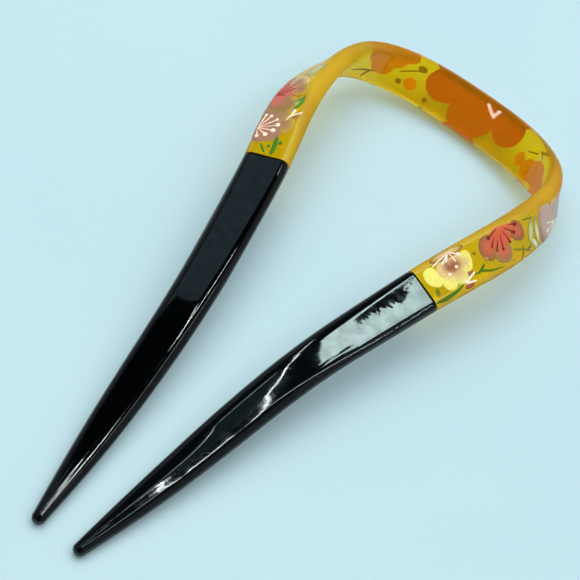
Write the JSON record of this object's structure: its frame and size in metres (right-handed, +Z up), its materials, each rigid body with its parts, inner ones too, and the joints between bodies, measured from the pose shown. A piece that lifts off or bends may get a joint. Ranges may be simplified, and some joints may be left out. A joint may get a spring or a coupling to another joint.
{
  "type": "kanzashi hair pin",
  "caption": "Two-legged hair pin: a wide amber crown strip with painted plum blossoms, bent round into tapering black lacquered legs.",
  "frame": {"origin": "under the middle of the pin, on the surface that it lies on", "axes": "+X across the pin from the left leg to the right leg, +Y from the tips to the crown, +Z up from the table"},
  "size_m": [0.0576, 0.1317, 0.0148],
  "materials": {
    "amber": "glossy translucent amber acrylic with painted blossoms on its outer face",
    "lacquer": "glossy black lacquer"
  },
  "bodies": {
    "root": {"crown": "amber", "left_leg": "lacquer", "right_leg": "lacquer"}
  },
  "joints": []
}
